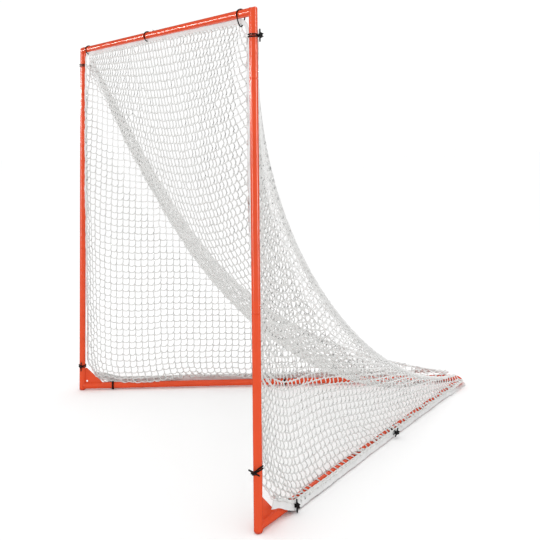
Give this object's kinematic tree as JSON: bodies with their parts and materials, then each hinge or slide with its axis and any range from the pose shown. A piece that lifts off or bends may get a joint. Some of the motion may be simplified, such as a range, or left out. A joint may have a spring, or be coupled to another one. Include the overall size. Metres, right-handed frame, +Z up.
{
  "type": "portable field goal",
  "caption": "Knock-down steel-tube goal with a square mouth, a V-shaped base and a sagging knotted net, for throwing and shooting a small hard ball on grass or turf.",
  "frame": {"origin": "on the floor under the middle of the bounding box", "axes": "+X across the mouth towards the right post seen from in front, +Y from the mouth back to the apex, +Z up"},
  "size_m": [1.9294, 1.9, 1.8658],
  "materials": {
    "frame_paint": "glossy orange powder coat",
    "foot_plastic": "satin moulded plastic",
    "button_steel": "plated",
    "spring_steel": "bare spring strip",
    "shock_cord": "woven sheath over rubber",
    "toggle_plastic": "moulded, fine grain",
    "net_twine": "knotted braided twine",
    "hem_tape": "woven binding tape"
  },
  "bodies": {
    "goal": {"left_corner_section": "frame_paint", "left_middle_post": "frame_paint", "left_lower_post": "frame_paint", "left_base_stub": "frame_paint", "left_base_middle": "frame_paint", "left_gusset": "frame_paint", "right_corner_section": "frame_paint", "right_middle_post": "frame_paint", "right_lower_post": "frame_paint", "right_base_stub": "frame_paint", "right_base_middle": "frame_paint", "right_gusset": "frame_paint", "apex_section": "frame_paint", "left_foot_cap": "foot_plastic", "right_foot_cap": "foot_plastic", "crossbar_snap_spring": "spring_steel", "left_post_upper_snap_spring": "spring_steel", "left_post_lower_snap_spring": "spring_steel", "left_base_front_snap_spring": "spring_steel", "left_base_rear_snap_spring": "spring_steel", "right_post_upper_snap_spring": "spring_steel", "right_post_lower_snap_spring": "spring_steel", "right_base_front_snap_spring": "spring_steel", "right_base_rear_snap_spring": "spring_steel", "crossbar_left_tie_cord": "shock_cord", "crossbar_middle_tie_cord": "shock_cord", "crossbar_right_tie_cord": "shock_cord", "left_post_top_tie_cord": "shock_cord", "right_post_top_tie_cord": "shock_cord", "left_post_foot_tie_cord": "shock_cord", "right_post_foot_tie_cord": "shock_cord", "left_base_front_tie_cord": "shock_cord", "right_base_front_tie_cord": "shock_cord", "left_base_rear_tie_cord": "shock_cord", "right_base_rear_tie_cord": "shock_cord", "left_side_net": "net_twine", "right_side_net": "net_twine", "back_net": "net_twine", "mouth_hem": "hem_tape", "base_hem": "hem_tape"},
    "crossbar_button": {"crossbar_snap_button": "button_steel"},
    "left_post_upper_button": {"left_post_upper_snap_button": "button_steel"},
    "left_post_lower_button": {"left_post_lower_snap_button": "button_steel"},
    "left_base_front_button": {"left_base_front_snap_button": "button_steel"},
    "left_base_rear_button": {"left_base_rear_snap_button": "button_steel"},
    "right_post_upper_button": {"right_post_upper_snap_button": "button_steel"},
    "right_post_lower_button": {"right_post_lower_snap_button": "button_steel"},
    "right_base_front_button": {"right_base_front_snap_button": "button_steel"},
    "right_base_rear_button": {"right_base_rear_snap_button": "button_steel"},
    "crossbar_left_tie_swivel": {"crossbar_left_tie_toggle": "toggle_plastic"},
    "crossbar_middle_tie_swivel": {"crossbar_middle_tie_toggle": "toggle_plastic"},
    "crossbar_right_tie_swivel": {"crossbar_right_tie_toggle": "toggle_plastic"},
    "left_post_top_tie_swivel": {"left_post_top_tie_toggle": "toggle_plastic"},
    "right_post_top_tie_swivel": {"right_post_top_tie_toggle": "toggle_plastic"},
    "left_post_foot_tie_swivel": {"left_post_foot_tie_toggle": "toggle_plastic"},
    "right_post_foot_tie_swivel": {"right_post_foot_tie_toggle": "toggle_plastic"},
    "left_base_front_tie_swivel": {"left_base_front_tie_toggle": "toggle_plastic"},
    "right_base_front_tie_swivel": {"right_base_front_tie_toggle": "toggle_plastic"},
    "left_base_rear_tie_swivel": {"left_base_rear_tie_toggle": "toggle_plastic"},
    "right_base_rear_tie_swivel": {"right_base_rear_tie_toggle": "toggle_plastic"}
  },
  "joints": [
    {"name": "crossbar_button_press", "type": "slide", "parent": "goal", "child": "crossbar_button", "axis": [0, 0, -1], "range_m": [0, 0.005], "stiffness_N_per_m": 1500},
    {"name": "left_post_upper_button_press", "type": "slide", "parent": "goal", "child": "left_post_upper_button", "axis": [0, -1, 0], "range_m": [0, 0.005], "stiffness_N_per_m": 1500},
    {"name": "left_post_lower_button_press", "type": "slide", "parent": "goal", "child": "left_post_lower_button", "axis": [0, -1, 0], "range_m": [0, 0.005], "stiffness_N_per_m": 1500},
    {"name": "left_base_front_button_press", "type": "slide", "parent": "goal", "child": "left_base_front_button", "axis": [0, 0, -1], "range_m": [0, 0.005], "stiffness_N_per_m": 1500},
    {"name": "left_base_rear_button_press", "type": "slide", "parent": "goal", "child": "left_base_rear_button", "axis": [0, 0, -1], "range_m": [0, 0.005], "stiffness_N_per_m": 1500},
    {"name": "right_post_upper_button_press", "type": "slide", "parent": "goal", "child": "right_post_upper_button", "axis": [0, -1, 0], "range_m": [0, 0.005], "stiffness_N_per_m": 1500},
    {"name": "right_post_lower_button_press", "type": "slide", "parent": "goal", "child": "right_post_lower_button", "axis": [0, -1, 0], "range_m": [0, 0.005], "stiffness_N_per_m": 1500},
    {"name": "right_base_front_button_press", "type": "slide", "parent": "goal", "child": "right_base_front_button", "axis": [0, 0, -1], "range_m": [0, 0.005], "stiffness_N_per_m": 1500},
    {"name": "right_base_rear_button_press", "type": "slide", "parent": "goal", "child": "right_base_rear_button", "axis": [0, 0, -1], "range_m": [0, 0.005], "stiffness_N_per_m": 1500},
    {"name": "crossbar_left_tie_toggle_turn", "type": "hinge", "parent": "goal", "child": "crossbar_left_tie_swivel", "pos_m": [-0.84, -0.88869, 1.85611], "axis": [0, 0.9023, 0.4311], "range_deg": [-90, 90]},
    {"name": "crossbar_middle_tie_toggle_turn", "type": "hinge", "parent": "goal", "child": "crossbar_middle_tie_swivel", "pos_m": [-0.035, -0.88869, 1.85611], "axis": [0, 0.9023, 0.4311], "range_deg": [-90, 90]},
    {"name": "crossbar_right_tie_toggle_turn", "type": "hinge", "parent": "goal", "child": "crossbar_right_tie_swivel", "pos_m": [0.84, -0.88869, 1.85611], "axis": [0, 0.9023, 0.4311], "range_deg": [-90, 90]},
    {"name": "left_post_top_tie_toggle_turn", "type": "hinge", "parent": "goal", "child": "left_post_top_tie_swivel", "pos_m": [-0.95175, -0.89731, 1.762], "axis": [-0.8211, 0.5708, 0], "range_deg": [-90, 90]},
    {"name": "right_post_top_tie_toggle_turn", "type": "hinge", "parent": "goal", "child": "right_post_top_tie_swivel", "pos_m": [0.95175, -0.89731, 1.756], "axis": [0.8211, 0.5708, 0], "range_deg": [-90, 90]},
    {"name": "left_post_foot_tie_toggle_turn", "type": "hinge", "parent": "goal", "child": "left_post_foot_tie_swivel", "pos_m": [-0.9096, -0.92775, 0.128], "axis": [0.8, -0.6, 0], "range_deg": [-90, 90]},
    {"name": "right_post_foot_tie_toggle_turn", "type": "hinge", "parent": "goal", "child": "right_post_foot_tie_swivel", "pos_m": [0.94336, -0.93469, 0.208], "axis": [0.4983, -0.867, 0], "range_deg": [-90, 90]},
    {"name": "left_base_front_tie_toggle_turn", "type": "hinge", "parent": "goal", "child": "left_base_front_tie_swivel", "pos_m": [-0.8911, -0.74755, 0.02644], "axis": [-0.8869, 0.4376, 0.1483], "range_deg": [-90, 90]},
    {"name": "right_base_front_tie_toggle_turn", "type": "hinge", "parent": "goal", "child": "right_base_front_tie_swivel", "pos_m": [0.8734, -0.71168, 0.02644], "axis": [0.8869, 0.4376, 0.1483], "range_deg": [-90, 90]},
    {"name": "left_base_rear_tie_toggle_turn", "type": "hinge", "parent": "goal", "child": "left_base_rear_tie_swivel", "pos_m": [-0.47741, 0.09095, 0.02644], "axis": [-0.8869, 0.4376, 0.1483], "range_deg": [-90, 90]},
    {"name": "right_base_rear_tie_toggle_turn", "type": "hinge", "parent": "goal", "child": "right_base_rear_tie_swivel", "pos_m": [0.47741, 0.09095, 0.02644], "axis": [0.8869, 0.4376, 0.1483], "range_deg": [-90, 90]}
  ]
}
